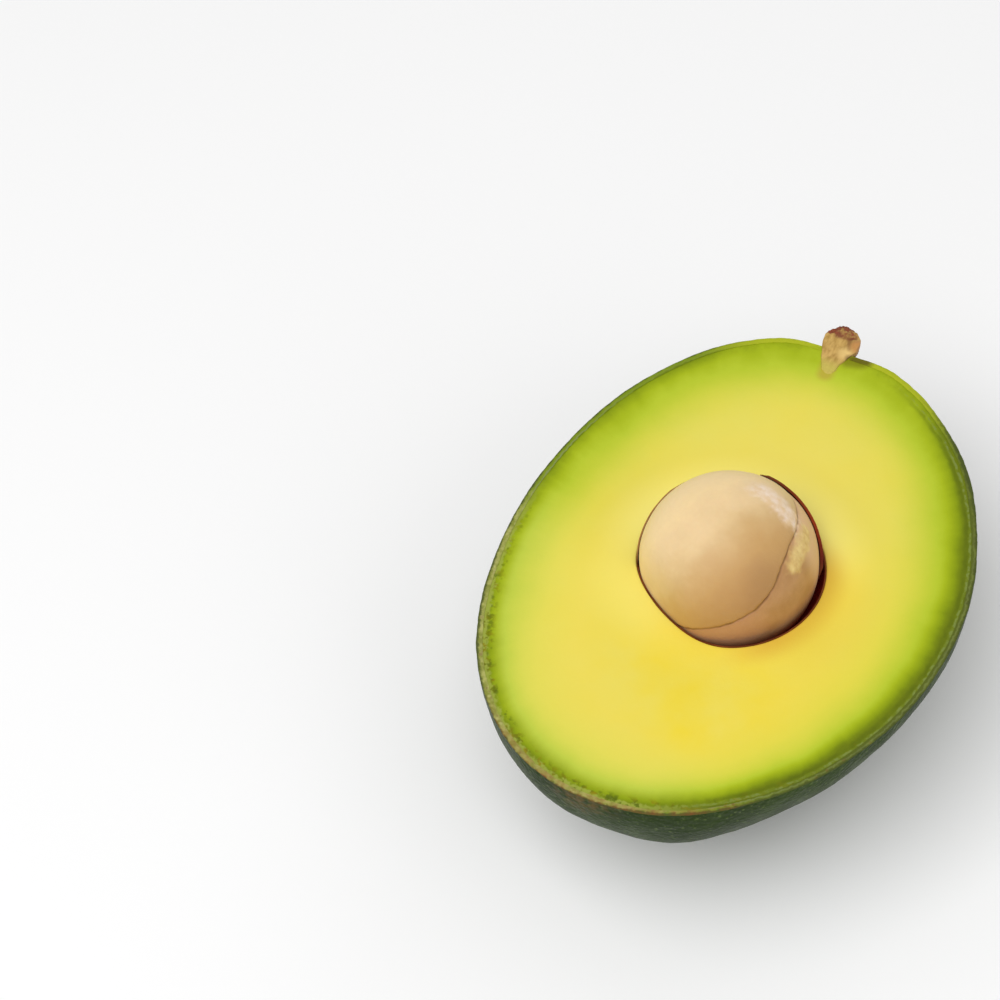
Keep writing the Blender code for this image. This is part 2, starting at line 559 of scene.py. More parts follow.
def make_coat_flap(heading, nearness, lift, thickness):
    """A crusty scrap of coat that stands up out of the nest beside the seed, thinner towards its ends."""

    def share_left(place):
        inwards = place - SEED_CENTRE
        ragged = noise.noise(inwards / (2.2 * MM)) + 0.5 * noise.noise(inwards / (0.8 * MM))
        return inwards.normalized().dot(heading) - nearness - 0.03 * ragged

    def is_left(place):
        return share_left(place) > 0.0 and place.z > CUT_HEIGHT - FLAP_FOOT

    def weight(place):
        lower = 1.0 - FLAP_THINNING * (place.z - CUT_HEIGHT) / MM
        return lower * max(FLAP_THINNEST, min(1.0, share_left(place) / FLAP_END))

    radii = SEED_RADII + Vector((lift, lift, lift))
    flap = add_ball("flap", SEED_CENTRE, radii, FLAP_AROUND, FLAP_RINGS)
    edit(flap)
    bpy.ops.mesh.select_all(action="SELECT")
    bpy.ops.mesh.bisect(
        plane_co=SEED_CENTRE,
        plane_no=FLAP_FRONT,
        clear_outer=True,
        threshold=CUT_THRESHOLD,
    )
    select_faces(flap, lambda centre, normal: not is_left(centre))
    bpy.ops.mesh.delete(type="FACE")
    finish_edit()
    displace(flap, lumps("wrinkles", 2.6 * MM, detail=2), 0.25 * MM)
    weigh(flap, "thick", weight)
    thicken(flap, thickness, 1.0, group="thick")
    return flap


def seam_distance(inwards):
    """How far a place on the seed is from the swaying seam, positive on the side of its smaller half."""
    turn = 2 * math.pi * (inwards.y - SEAM_SWAY_START) / SEAM_SWAY_LENGTH
    waver = 0.3 * MM * noise.noise(inwards / (3.5 * MM)) + 0.12 * MM * noise.noise(inwards / (1.2 * MM))
    return inwards.dot(SEAM_NORMAL) - SEAM_OFFSET - SEAM_SWAY * math.cos(turn) + waver


def make_seed():
    """A near-round seed whose halves meet in a wavering seam, with scraps and flakes clinging to it."""
    deselect()
    bpy.ops.mesh.primitive_ico_sphere_add(subdivisions=SEED_SUBDIVISIONS, radius=1.0, location=SEED_CENTRE)
    seed = bpy.context.object
    seed.name = "avocado_seed"
    seed.scale = SEED_RADII
    settle(seed)

    edit(seed)
    select_corners(seed, lambda place: abs(seam_distance(place - SEED_CENTRE)) < SEAM_BAND)
    bpy.ops.mesh.subdivide(number_cuts=1, smoothness=1.0)
    finish_edit()

    mesh = seed.data
    found = {"from_seam": [], "groove": [], "scraps": [], "flakes": []}
    for corner in mesh.vertices:
        inwards = corner.co - SEED_CENTRE
        distance = seam_distance(inwards)
        found["from_seam"].append(distance / MM)
        found["groove"].append(groove_share(inwards, distance))
        found["scraps"].append(cover(inwards, SCRAPS, ragged=0.3) if distance > 0.1 * MM else 0.0)
        found["flakes"].append(cover(inwards, FLAKES_AND_HIGHLIGHT, ragged=0.35))
    for name in ("from_seam", "scraps", "flakes"):
        mesh.attributes.new(name, "FLOAT", "POINT")
        mesh.attributes[name].data.foreach_set("value", found[name])
    for name in ("groove", "scraps", "flakes"):
        group = seed.vertex_groups.new(name=name + "_relief")
        for index, weight in enumerate(found[name]):
            if weight > 0.0:
                group.add([index], weight, "REPLACE")

    displace(seed, None, -0.4 * MM, group="groove_relief", middle=0.0)
    displace(seed, lumps("scrap_crumbs", 0.9 * MM, detail=3), 0.35 * MM, group="scraps_relief", middle=0.4)
    displace(seed, lumps("flake_crumbs", 1.2 * MM, detail=3), 0.2 * MM, group="flakes_relief", middle=0.4)
    displace(seed, lumps("seed_lumps", 13 * MM), 0.5 * MM)
    displace(seed, lumps("seed_dents", 4 * MM, detail=2), 0.1 * MM)
    press_in(seed, SEED_CENTRE + DENT_SIDE * SEED_RADII.x, SEED_DENT, SEED_DENT_REACH)
    smooth(seed, 80)
    dress(seed, "seed", "seed", seed_material())


# Where dried flesh and flaking coat cling to the seed: a line's ends from its centre, and a width, in mm.
# The seed's colour also lays a painted highlight over the flakes' patch.
SCRAPS = (Vector((12.6, 5.6, 8.9)), Vector((13.6, -1.4, 8.9)), 2.7)
FLAKES_AND_HIGHLIGHT = (Vector((3.2, 7.0, 14.5)), Vector((9.6, 5.6, 12.2)), 3.6)


def groove_share(inwards, distance):
    """How deep the seed is pressed in near its seam, from 0 to 1: a groove, and one half a little lower."""
    depth = 0.5 + 0.35 * noise.noise(inwards / (3.0 * MM))
    groove = depth * math.exp(-((distance / (0.26 * MM)) ** 2))
    step = 0.4 / (1.0 + math.exp(-distance / (0.14 * MM)))
    return min(1.0, groove + step * math.exp(-max(distance, 0.0) / (5.0 * MM)))


def cover(inwards, patch, ragged):
    """How much a place on the seed is covered by a ragged patch, from 0 to 1."""
    first, last, width = patch
    place = inwards / MM
    line = last - first
    share = max(0.0, min(1.0, (place - first).dot(line) / line.length_squared))
    apart = (place - first.lerp(last, share)).length
    frayed = ragged * (noise.noise(place / 1.3) + 0.5 * noise.noise(place / 0.5))
    return max(0.0, min(1.0, 1.3 * (1.0 - apart / width + frayed))) if apart < 2 * width else 0.0


def make_stem():
    """The lower half of the short stem stub, drawn out ring by ring from its root to its broken end."""
    rings = []
    for x, y, rise, radius, lean in STEM_RINGS:
        rings.append((Vector((x, y, CUT_HEIGHT / MM + rise)) * MM, radius * MM, lean))
    place, radius, lean = rings[0]
    deselect()
    bpy.ops.mesh.primitive_circle_add(
        vertices=STEM_SIDES,
        radius=radius,
        fill_type="NGON",
        location=place,
        rotation=(math.pi / 2, 0.0, 0.0),
    )
    stem = bpy.context.object
    stem.name = "avocado_stem"
    settle(stem)
    edit(stem)
    bpy.ops.mesh.select_all(action="SELECT")
    for next_place, next_radius, next_lean in rings[1:]:
        bpy.ops.mesh.extrude_region_move()
        move(next_place - place)
        grown = next_radius / radius
        stretch((grown, grown, grown), next_place)
        bpy.ops.transform.rotate(
            value=math.radians(lean - next_lean),
            orient_axis="Z",
            center_override=next_place,
            use_proportional_edit=False,
        )
        place, radius, lean = next_place, next_radius, next_lean
    finish_edit()
    face_outwards(stem)
    cut_level(stem, CUT_HEIGHT + STEM_PROUD, fill=True)

    even = stem.modifiers.new("even_mesh", "REMESH")
    even.mode = "VOXEL"
    even.voxel_size = STEM_VOXEL
    apply_modifier(stem, even)
    edit(stem)
    for x, y, reach, rise in STEM_CORNERS:
        target = Vector((x * MM, y * MM, CUT_HEIGHT + STEM_PROUD))
        select_corners(stem, lambda place: (place - target).length < 0.3 * MM)
        pull((0.0, 0.0, rise * MM), reach * MM)
    finish_edit()
    weigh(stem, "bark", lambda place: (CUT_HEIGHT + STEM_PROUD - place.z) / (1.2 * MM))
    weigh(stem, "broken_end", lambda place: (stem_reach(place) - STEM_BROKEN_FROM) / (1.6 * MM))
    displace(stem, lumps("bark_ridges", 1.5 * MM, detail=3), 0.7 * MM, group="bark")
    splinters = lumps("splinters", 1.1 * MM, detail=3)
    displace(stem, splinters, 1.0 * MM, group="broken_end", direction="RGB_TO_XYZ")
    displace(stem, lumps("cut_lumps", 2.6 * MM), 0.5 * MM)
    displace(stem, lumps("cut_grain", 0.7 * MM, detail=3), 0.2 * MM)
    smooth(stem, 80)
    dress(stem, "stem", "stem_button", stem_material())


def stem_reach(place):
    """How far along the leaning stem a place lies from where it leaves the fruit."""
    along, aside = place.y - STEM_FOOT_Y, place.x - STEM_FOOT_X
    return along * math.cos(STEM_LEAN) - aside * math.sin(STEM_LEAN)


# ---------------------------------------------------------------- material helpers


class Value:
    """What a shader node puts out: a number, place or colour. Sums and products of values are nodes too."""

    def __init__(self, tree, socket):
        self.tree = tree
        self.socket = socket

    def other(self, output):
        """Another output of the same node."""
        return Value(self.tree, self.socket.node.outputs[output])

    def __add__(self, other):
        return maths("ADD", self, other)

    def __sub__(self, other):
        return maths("SUBTRACT", self, other)

    def __rsub__(self, other):
        return maths("SUBTRACT", other, self)

    def __mul__(self, other):
        return maths("MULTIPLY", self, other)

    def __truediv__(self, other):
        return maths("DIVIDE", self, other)

    def __rtruediv__(self, other):
        return maths("DIVIDE", other, self)


def tree_of(values):
    return next(value.tree for value in values if isinstance(value, Value))


def connect(tree, socket, value):
    if isinstance(value, Value):
        tree.links.new(value.socket, socket)
    else:
        socket.default_value = value


def add(tree, kind, output, values, **settings):
    """Adds a shader node, gives its inputs numbers or values, and returns one of its outputs."""
    node = tree.nodes.new("ShaderNode" + kind)
    for setting, value in settings.items():
        setattr(node, setting, value)
    for key, value in values.items():
        connect(tree, node.inputs[key], value)
    return Value(tree, node.outputs[output])


def maths(operation, *operands, clamp=False):
    values = dict(enumerate(operands))
    return add(tree_of(operands), "Math", 0, values, operation=operation, use_clamp=clamp)


def vector_maths(operation, *operands):
    output = "Value" if operation in ("LENGTH", "DISTANCE", "DOT_PRODUCT") else "Vector"
    values = dict(enumerate(operands))
    return add(tree_of(operands), "VectorMath", output, values, operation=operation)


def scaled(vector, share):
    values = {0: vector, "Scale": share}
    return add(share.tree, "VectorMath", "Vector", values, operation="SCALE")


def split(place):
    x = add(place.tree, "SeparateXYZ", "X", {"Vector": place})
    return x, x.other("Y"), x.other("Z")


def fade(value, low, high, to_low=0.0, to_high=1.0, kind="SMOOTHSTEP"):
    values = {"Value": value, "From Min": low, "From Max": high, "To Min": to_low, "To Max": to_high}
    return add(value.tree, "MapRange", "Result", values, interpolation_type=kind)


def fade_mm(value, low, high, to_low=0.0, to_high=1.0):
    """A fade between two lengths given in mm."""
    return fade(value, low * MM, high * MM, to_low, to_high)


def near_spot(place, spot, inner, outer, most=1.0):
    """As strong as its most within some mm of a spot, fading to 0 further out."""
    return fade_mm(vector_maths("DISTANCE", place, spot), inner, outer, most, 0.0)


def near_line(place, first, last, inner, outer, rise=0.0):
    """1 within some mm of a line, then fading to 0. Its ends are (X, Y) in mm, on or above the cut."""
    first, last = (Vector((x * MM, y * MM, CUT_HEIGHT + rise * MM)) for x, y in (first, last))
    line = last - first
    from_first = vector_maths("SUBTRACT", place, first)
    share = vector_maths("DOT_PRODUCT", from_first, line / line.length_squared)
    nearest = scaled(line, maths("MULTIPLY", share, 1.0, clamp=True))
    return fade_mm(vector_maths("DISTANCE", from_first, nearest), inner, outer, 1.0, 0.0)


def paint(red, green, blue):
    """A colour given as on a screen, from 0 to 255, in linear light."""
    light = []
    for value in (red, green, blue):
        share = value / 255
        light.append(share / 12.92 if share <= 0.04045 else ((share + 0.055) / 1.055) ** 2.4)
    return (*light, 1.0)


def blend(factor, first, second):
    """Mixes two colours, which go in a Mix node's sockets 6 and 7 and come out at 2."""
    return add(factor.tree, "Mix", 2, {"Factor": factor, 6: first, 7: second}, data_type="RGBA")


def wash(colour, shade, strength):
    """Lays a screen colour over another colour."""
    return blend(strength, colour, paint(*shade))


def ramp(value, stops):
    """A colour ramp whose stops are (position, screen colour)."""
    shown = add(value.tree, "ValToRGB", "Color", {"Fac": value})
    marks = shown.socket.node.color_ramp.elements
    while len(marks) < len(stops):
        marks.new(0.5)
    for mark, (position, shade) in zip(marks, stops):
        mark.position = position
        mark.color = paint(*shade)
    return shown


def new_material(name):
    material = bpy.data.materials.new(name)
    material.use_nodes = True
    return material


def place_of(material):
    return add(material.node_tree, "TexCoord", "Object", {})


def read_attribute(tree, name):
    return add(tree, "Attribute", "Fac", {}, attribute_name=name)


def set_shader(material, values):
    tree = material.node_tree
    for key, value in values.items():
        connect(tree, tree.nodes["Principled BSDF"].inputs[key], value)
    return material


# ---------------------------------------------------------------- effects that several materials share


def new_group(name, numbers, output):
    """A shader node group that turns a place and some numbers, here with defaults, into one number."""
    tree = bpy.data.node_groups.new(name, "ShaderNodeTree")
    tree.interface.new_socket(name="Vector", in_out="INPUT", socket_type="NodeSocketVector")
    for label, value in numbers.items():
        socket = tree.interface.new_socket(name=label, in_out="INPUT", socket_type="NodeSocketFloat")
        socket.default_value = value
    tree.interface.new_socket(name=output, in_out="OUTPUT", socket_type="NodeSocketFloat")
    given = tree.nodes.new("NodeGroupInput").outputs
    return tree, {socket.name: Value(tree, socket) for socket in given if socket.name}


def finish_group(tree, result):
    tree.links.new(result.socket, tree.nodes.new("NodeGroupOutput").inputs[0])
    return tree


def use(effect, values):
    return add(tree_of(values.values()), "Group", 0, values, node_tree=EFFECTS[effect])


def mottle_group():
    """Soft blotches of about a given size, from 0 to 1."""
    tree, given = new_group("mottle", {"Size": 0.01, "Contrast": 1.0}, "Factor")
    values = {"Vector": given["Vector"], "Scale": 1.0 / given["Size"], "Detail": 3.0, "Roughness": 0.55}
    cloud = add(tree, "TexNoise", "Fac", values)
    spread = maths("MULTIPLY_ADD", cloud - 0.5, given["Contrast"], 0.5)
    return finish_group(tree, maths("MULTIPLY", spread, 1.0, clamp=True))


def speckle_group():
    """Round dots at a given spacing. Only a share of the places has a dot."""
    tree, given = new_group("speckle", {"Spacing": 0.001, "Reach": 0.35, "Share": 0.6}, "Mask")
    values = {"Vector": given["Vector"], "Scale": 1.0 / given["Spacing"]}
    cells = add(tree, "TexVoronoi", "Distance", values)
    pick = add(tree, "SeparateColor", "Red", {"Color": cells.other("Color")})
    reach = given["Reach"] * maths("MULTIPLY_ADD", pick.other("Green"), 0.8, 0.6)
    dot = fade(cells, reach * 0.35, reach, 1.0, 0.0)
    return finish_group(tree, dot * maths("LESS_THAN", pick, given["Share"]))


def pebble_group():
    """The height of fine pebbles, from 0 to 1: soft domes of a given size with a finer grain on them."""
    tree, given = new_group("pebbles", {"Size": 0.001, "Grain": 0.3}, "Height")
    scale = 1.0 / given["Size"]
    dome_values = {"Vector": given["Vector"], "Scale": scale, "Smoothness": 0.6}
    domes = add(tree, "TexVoronoi", "Distance", dome_values, feature="SMOOTH_F1")
    finer = add(tree, "TexNoise", "Fac", {"Vector": given["Vector"], "Scale": scale * 3.0, "Detail": 4.0})
    return finish_group(tree, maths("MULTIPLY_ADD", finer, given["Grain"], 1.0 - domes))


def skin_depth_group():
    """How deep a point lies below the skin, in millimetres, from the fruit's bowed and tapered egg form."""
    tree, given = new_group("skin_depth", {}, "Depth")
    x, y, z = split(given["Vector"])
    along = y / HALF_LENGTH
    slimmer = maths("MULTIPLY_ADD", along, -TAPER, 1.0)
    across = maths("MULTIPLY_ADD", along * along, BOW, x) / HALF_WIDTH / slimmer
    down = (z - CUT_HEIGHT) / DEPTH / slimmer
    unit = add(tree, "CombineXYZ", "Vector", {"X": across, "Y": along, "Z": down})
    radius = vector_maths("LENGTH", unit)
    slope = vector_maths("LENGTH", vector_maths("DIVIDE", unit, (HALF_WIDTH, HALF_LENGTH, DEPTH)))
    return finish_group(tree, (1.0 - radius) * radius / slope / MM)


def radial_streak_group():
    """Streaks that run inwards from the cut face's rim, from 0 to 1. Width and Length are in metres."""
    numbers = {"Depth": 0.0, "Width": 0.001, "Length": 0.008}
    tree, given = new_group("radial_streaks", numbers, "Factor")
    x, y, _ = split(given["Vector"])
    flat = add(tree, "CombineXYZ", "Vector", {"X": x, "Y": y, "Z": 0.0})
    around = scaled(vector_maths("NORMALIZE", flat), HALF_WIDTH / given["Width"])
    inwards = add(tree, "CombineXYZ", "Vector", {"Z": given["Depth"] * MM / given["Length"]})
    where = vector_maths("ADD", around, inwards)
    cloud = add(tree, "TexNoise", "Fac", {"Vector": where, "Scale": 1.0, "Detail": 2.0, "Roughness": 0.5})
    return finish_group(tree, cloud)


def pale_side_group():
    """1 on the side of the cut where the peel's edge is pale and corky, 0 where it is green."""
    tree, given = new_group("pale_side", {}, "Factor")
    x, y, _ = split(given["Vector"])
    return finish_group(tree, fade_mm(y, 6, -12) * fade_mm(x, 20, 4))


def make_effects():
    return {
        "mottle": mottle_group(),
        "speckle": speckle_group(),
        "pebbles": pebble_group(),
        "depth": skin_depth_group(),
        "streaks": radial_streak_group(),
        "pale side": pale_side_group(),
    }


# ---------------------------------------------------------------- materials


def blotches(place, size, contrast):
    """Soft blotches from 0 to 1, their size in mm."""
    return use("mottle", {"Vector": place, "Size": size * MM, "Contrast": contrast})


def wander(place, size, contrast, low, high):
    """Blotches that range evenly between two values, their size in mm."""
    return fade(blotches(place, size, contrast), 0.0, 1.0, low, high, kind="LINEAR")


def mottled(place, size, contrast, first, second):
    """Blotches of two screen colours, their size in mm."""
    return blend(blotches(place, size, contrast), paint(*first), paint(*second))


def dots(place, spacing, reach, share):
    """Dots some mm apart. Their reach is a share of that, and only a share of the places has one."""
    return use("speckle", {"Vector": place, "Spacing": spacing * MM, "Reach": reach, "Share": share})


def rim_streaks(place, depth, width, length):
    """Streaks from 0 to 1 that run inwards from the rim, their width and length in mm."""
    return use("streaks", {"Vector": place, "Depth": depth, "Width": width * MM, "Length": length * MM})


def pebbled(place, size, grain, height):
    """The normals of a finely pebbled surface, its size and height in mm."""
    pebbles = use("pebbles", {"Vector": place, "Size": size * MM, "Grain": grain})
    return add(place.tree, "Bump", "Normal", {"Height": pebbles, "Distance": height * MM, "Strength": 1.0})


def skin_material():
    """Dark green, with fine pale lenticels, a satin wax, and corky marks at both ends."""
    material = new_material("avocado_skin")
    place = place_of(material)
    colour = mottled(place, 14, 2.6, (28, 45, 4), (54, 76, 8))
    colour = wash(colour, (34, 52, 5), blotches(place, 3, 2.5))
    colour = wash(colour, (116, 134, 74), dots(place, 1.05, 0.34, 0.75) * 0.34)
    colour = wash(colour, (96, 116, 58), dots(place, 0.55, 0.4, 0.6) * 0.25)
    stem_end = (-BOW, HALF_LENGTH - DIMPLE_DEPTH, CUT_HEIGHT)
    cork = near_spot(place, stem_end, 3.5, 6.5) * blotches(place, 1.2, 4.0)
    colour = wash(colour, (128, 104, 56), cork)
    blossom_end = (-BOW, -HALF_LENGTH, CUT_HEIGHT)
    scar = near_spot(place, blossom_end, 1.5, 9) * blotches(place, 1.6, 4.0)
    colour = wash(colour, (108, 84, 46), scar * 0.7)
    look = {
        "Base Color": colour,
        "Roughness": wander(place, 5, 2.0, 0.38, 0.52),
        "Specular IOR Level": 0.08,
        "Normal": pebbled(place, 1.0, 0.35, 0.14),
    }
    return set_shader(material, look)


def cut_edge_material():
    """The peel where it was cut: pale and corky on one side, green like the flesh on the other."""
    material = new_material("avocado_cut_edge")
    place = place_of(material)
    x, y, _ = split(place)
    uneven = fade(blotches(place, 1.1, 2.5), 0.0, 1.0, -0.16, 0.16)
    depth = use("depth", {"Vector": place}) + uneven
    pale_side = use("pale side", {"Vector": place})
    olive_side = fade_mm(x, 10, 34)
    at_stem = fade_mm(y, 42, 53, 0.0, 0.9)

    green = blend(olive_side, paint(120, 142, 14), paint(84, 93, 30))
    green = wash(green, (138, 152, 44), blotches(place, 1.4, 4.0) * 0.25)
    thin_line = fade(depth, 0.45, 0.65) * fade(depth, 0.75, 1.0, 1.0, 0.0)
    thin_line *= fade_mm(y, 34, 10, 0.1, 0.7) * fade_mm(x, 10, 34, 1.0, 0.35)
    green = wash(green, (136, 147, 92), thin_line)
    green = wash(green, (180, 188, 30), at_stem)
    corky = mottled(place, 1.4, 4.0, (134, 139, 56), (174, 174, 96))
    corky = wash(corky, (196, 194, 122), dots(place, 0.9, 0.5, 0.5) * 0.6)
    colour = blend(pale_side, green, corky)
    brown = dots(place, 0.9, 0.5, 0.35) * fade_mm(y, -10, -45, 0.1, 0.7)
    colour = wash(colour, (112, 88, 34), brown)
    blossom = fade_mm(y, -42, -52) * blotches(place, 2.0, 3.0)
    colour = wash(colour, (150, 116, 58), blossom * 0.7)

    rim_depth = maths("MULTIPLY_ADD", olive_side, -0.35, depth)
    outer = fade(rim_depth, -0.2, 0.3, 0.9, 0.0) * (1.0 - at_stem)
    colour = blend(outer, colour, blend(blossom, paint(70, 80, 30), paint(112, 66, 30)))
    inner_colour = blend(olive_side, paint(110, 126, 14), paint(88, 99, 26))
    inner_colour = wash(inner_colour, (170, 182, 24), at_stem)
    inner_colour = wash(inner_colour, (150, 158, 66), pale_side)
    colour = blend(fade(depth, 0.75, 1.0), colour, inner_colour)
    # Painted shadow: the stem's lump darkens the peel's cut edge just beside it.
    painted_shadow_by_stem = near_line(place, (-0.6, 54.4), (1.6, 55.0), 0.3, 2.2)
    colour = wash(colour, (88, 74, 8), painted_shadow_by_stem * 0.85)
    look = {
        "Base Color": colour,
        "Roughness": 0.55,
        "Specular IOR Level": 0.2,
        "Normal": pebbled(place, 0.6, 0.6, 0.08),
    }
    return set_shader(material, look)


# The flesh's colour by how far in from the peel it looks to be, in mm
FLESH_STOPS = (
    (-1.8, (108, 122, 18)),
    (-0.4, (106, 120, 10)),
    (0.6, (119, 135, 10)),
    (1.5, (138, 156, 12)),
    (2.5, (154, 171, 18)),
    (3.5, (168, 185, 26)),
    (5.0, (185, 201, 48)),
    (7.0, (202, 208, 60)),
    (9.0, (216, 213, 70)),
    (11.0, (226, 216, 76)),
    (14.0, (232, 217, 82)),
    (18.0, (237, 218, 86)),
)
BEFORE_FIRST_STOP, ALL_STOPS = 2.0, 20.0


def flesh_reach(place, depth, pale_side, streaks):
    """How far in from the peel the flesh looks to be, in mm. Its green reaches further in on some sides."""
    x, y, _ = split(place)
    slow = maths("MINIMUM", depth, maths("MULTIPLY_ADD", depth, 0.56, 1.5))
    reach = maths("MULTIPLY_ADD", fade_mm(y, -14, 26), slow - depth, depth)
    reach -= fade_mm(x, 12, 36) * fade(depth, 2.5, 7.0, 2.7, 1.1)
    reach += fade_mm(y, 44, 54, 0.0, 1.8) * fade(depth, 1.0, 5.0, 1.0, 0.0)
    reach += fade_mm(y, -18, -42) * fade(depth, 2.5, 8.0, -0.9, 1.6)
    reach += fade_mm(x, -20, -36, 0.0, 0.3) * fade(depth, 8.0, 3.0)
    reach += fade(depth, 1.2, 2.5) * fade(depth, 9.0, 5.0, 0.0, 0.35) * pale_side
    reach += wander(place, 9, 1.6, -0.8, 0.8)
    reach += (streaks - 0.5) * fade(depth, 1.5, 10.0, 1.0, 0.0) * 1.7
    return reach


def wash_round_seed(colour, place):
    """Painted light that brightens the flesh round the seed against the seed's shade on it, painted warm
    shade close to the seed's +X side, and a warmer yellow further out on that side.
    """
    x, y, _ = split(place)
    from_nest = vector_maths("DISTANCE", place, NEST_CENTRE)
    # Painted light: the flesh next to the seed is painted brighter to cancel the shade that the seed casts
    # there.
    painted_light_by_seed = fade_mm(from_nest, 17.5, 28, 0.9, 0.0) * fade_mm(y, 5, -9, 1.0, 0.45)
    painted_light_colour = blend(fade_mm(y - x, -22, 2), paint(255, 229, 84), paint(255, 242, 130))
    colour = blend(painted_light_by_seed, colour, painted_light_colour)
    # Painted shade: a warm orange-brown ring on the flesh close to the seed's +X side.
    painted_warm_shade = fade_mm(from_nest, 17.5, 22.8, 0.85, 0.0) * fade_mm(x, 4, 15) * fade_mm(y, 16, 4)
    colour = wash(colour, (224, 174, 62), painted_warm_shade)
    warm = fade_mm(from_nest, 18, 32, 0.45, 0.0) * fade_mm(x, 8, 17)
    warm *= fade_mm(y, 13, 2) * fade_mm(y, -22, -8)
    return wash(colour, (222, 194, 62), warm)


def wash_along_rim(colour, place, depth, pale_side, streaks):
    """Green teeth and thin lines on the +X side of the rim, a frayed fringe and dark bits on the other."""
    x, y, _ = split(place)
    at_right = fade_mm(x, 4, 24)
    teeth = fade(rim_streaks(place, depth, 1.5, 4), 0.45, 0.7) * fade(depth, 1.2, 4.0, 0.35, 0.0)
    colour = wash(colour, (92, 110, 4), teeth * fade_mm(x, 5, 28))
    wavering = depth + wander(place, 2.0, 3.0, -0.18, 0.18)
    under_peel = at_right * fade(wavering, 1.0, 1.3, 0.7, 0.0) * fade_mm(y, 36, 12)
    colour = wash(colour, (88, 99, 26), under_peel)
    inner_line = fade(wavering, 1.15, 1.35) * fade(wavering, 1.55, 1.85, 1.0, 0.0) * at_right
    inner_line *= fade(blotches(place, 1.2, 4.0), 0.2, 0.8, 0.1, 0.6)
    colour = wash(colour, (132, 147, 80), inner_line)
    dark_line = fade(wavering, 1.7, 2.0) * fade(wavering, 2.2, 3.0, 1.0, 0.0) * at_right
    colour = wash(colour, (84, 98, 8), dark_line * fade(streaks, 0.3, 0.7, 0.2, 0.6))

    fraying = fade(blotches(place, 1.0, 3.0), 0.0, 1.0, -0.35, 0.35)
    fringe = fade(depth + fraying, 1.2, 1.8, 0.75, 0.0) * pale_side
    colour = wash(colour, (160, 170, 72), fringe)
    bits = fade(blotches(place, 1.3, 4.0), 0.55, 0.95) * fade(depth, 1.6, 3.2, 1.0, 0.0)
    bits *= fade_mm(y, 0.0, -34, 0.1, 0.85) * fade_mm(x, 6, 26, 1.0, 0.25)
    colour = blend(bits, colour, mottled(place, 2.4, 4.0, (84, 100, 6), (140, 126, 8)))
    crumbs = dots(place, 1.3, 0.42, 0.5) * fade(depth, 1.2, 1.5) * fade(depth, 2.0, 2.6, 1.0, 0.0)
    crumbs *= fade_mm(y, 8.0, -30, 0.3, 0.6) * pale_side
    return wash(colour, (84, 98, 14), crumbs)


def flesh_material():
    """Butter yellow round the seed, turning through lime to green at the peel, with a moist bloom."""
    material = new_material("avocado_flesh")
    place = place_of(material)
    y = split(place)[1]
    depth = use("depth", {"Vector": place})
    pale_side = use("pale side", {"Vector": place})
    streaks = rim_streaks(place, depth, 2.6, 14)
    reach = flesh_reach(place, depth, pale_side, streaks) + BEFORE_FIRST_STOP
    stops = [((at + BEFORE_FIRST_STOP) / ALL_STOPS, shade) for at, shade in FLESH_STOPS]
    colour = ramp(maths("DIVIDE", reach, ALL_STOPS, clamp=True), stops)

    paler = fade_mm(y, -14, 26) * fade(depth, 6.0, 18.0, 0.0, 0.35)
    colour = wash(colour, (234, 222, 120), paler)
    colour = wash(colour, (230, 234, 150), pale_side * fade(depth, 2.0, 4.5, 0.0, 0.11))
    below_seed = near_line(place, (0.0, -25), (9, -28), 2, 22)
    deep = blotches(place, 12, 2.2) * fade(depth, 7.0, 16.0) * fade(below_seed, 0.0, 1.0, 0.25, 1.0)
    colour = wash(colour, (240, 214, 44), deep * 0.85)
    colour = wash_round_seed(colour, place)
    colour = wash_along_rim(colour, place, depth, pale_side, streaks)
    stem_root = near_line(place, (-4.2, 49.0), (-4.6, 52.5), 0.6, 2.4)
    colour = wash(colour, (188, 166, 62), stem_root * 0.8)
    # Painted shadow: the stem's lump darkens the flesh just beside it.
    painted_shadow_beside_stem = near_line(place, (-1.6, 53.4), (1.0, 54.2), 0.2, 2.2)
    colour = wash(colour, (104, 92, 8), painted_shadow_beside_stem * 0.6)
    look = {
        "Base Color": colour,
        "Roughness": wander(place, 4, 2.0, 0.4, 0.52),
        "Subsurface Weight": 0.05,
        "Subsurface Radius": (1.0, 0.8, 0.25),
        "Subsurface Scale": 1.0 * MM,
        "Specular IOR Level": 0.14,
        "Normal": pebbled(place, 0.9, 0.8, 0.015),
    }
    return set_shader(material, look)


# The big half of the seed as painted light and shade, from its shaded tan end to its lit pale end, and the
# heading of that lit end
SEED_LIT_TO_SHADED_STOPS = (
    (0.0, (182, 136, 84)),
    (0.15, (192, 147, 90)),
    (0.3, (201, 158, 98)),
    (0.4, (206, 165, 107)),
    (0.49, (212, 174, 117)),
    (0.58, (220, 186, 132)),
    (0.67, (230, 198, 145)),
    (0.76, (235, 204, 153)),
    (0.85, (240, 209, 158)),
    (1.0, (248, 218, 163)),
)
SEED_LIT_END = Vector((-0.846, 0.497, 0.192)).normalized()
SEED_DARKER_SPOT = SEED_CENTRE + Vector((11.0, -7.5, 9.8)) * MM


